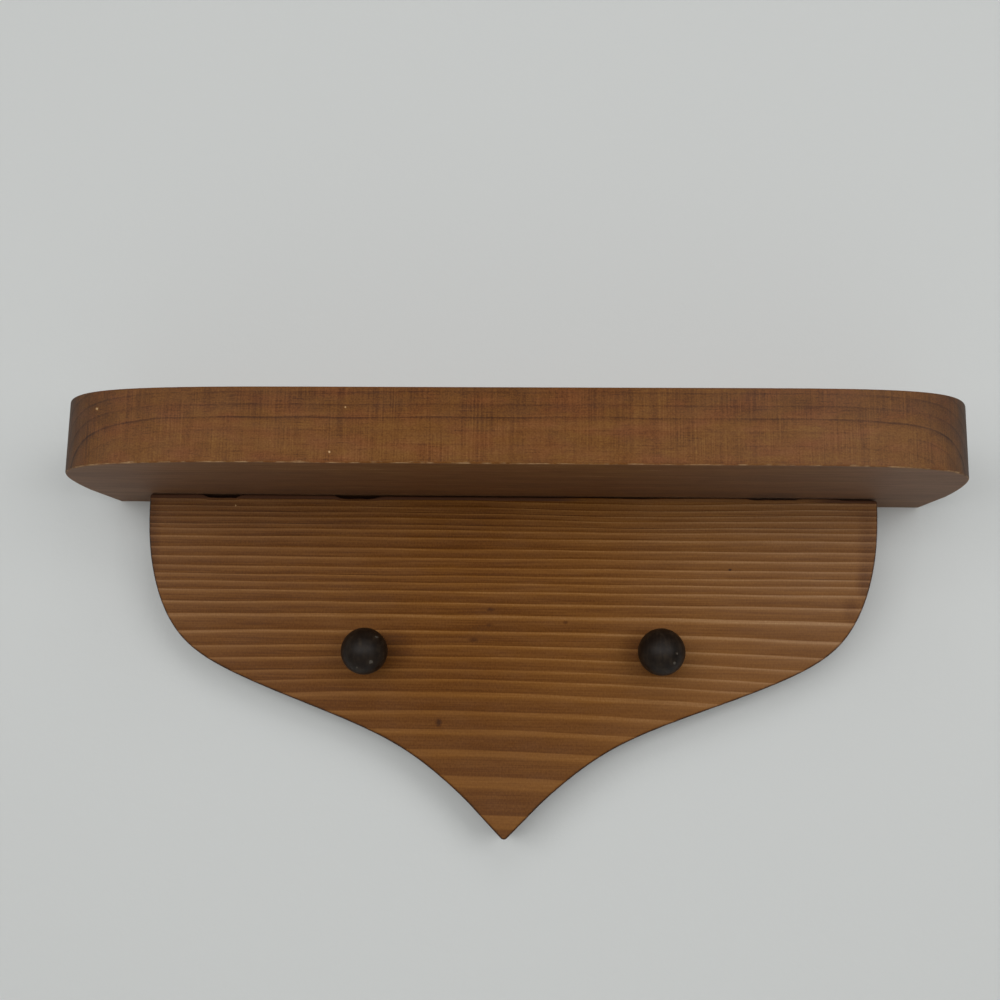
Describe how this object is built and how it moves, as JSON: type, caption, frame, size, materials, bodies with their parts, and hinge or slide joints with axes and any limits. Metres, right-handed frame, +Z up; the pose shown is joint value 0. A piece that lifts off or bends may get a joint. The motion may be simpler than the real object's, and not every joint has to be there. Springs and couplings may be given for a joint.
{
  "type": "shaker peg rail with shelf",
  "caption": "Small softwood wall shelf on an ogee-cut back board with dark ball pegs on its face and keyhole hangers let into its back.",
  "frame": {"origin": "on the wall face, midway between the points where the two wall screws carry the hangers", "axes": "+X right as seen from the front, +Y into the wall, +Z up; the front faces -Y"},
  "size_m": [0.3134, 0.0792, 0.1485],
  "materials": {
    "shelf_wood": "stained softwood with saw marks under thin satin oil",
    "back_wood": "stained softwood with raised growth rings under thin satin oil",
    "plug_wood": "stained softwood plugs, sanded flush",
    "peg_wood": "turned hardwood stained near black, satin",
    "hanger_steel": "pressed steel with yellow zinc plating",
    "screw_steel": "turned steel with yellow zinc plating"
  },
  "bodies": {
    "root": {"shelf_board": "shelf_wood", "back_board": "back_wood", "left_peg": "peg_wood", "right_peg": "peg_wood", "shelf_screws": "screw_steel", "screw_plugs": "plug_wood", "left_keyhole_hanger": "hanger_steel", "right_keyhole_hanger": "hanger_steel", "hanger_screws": "screw_steel"}
  },
  "joints": []
}
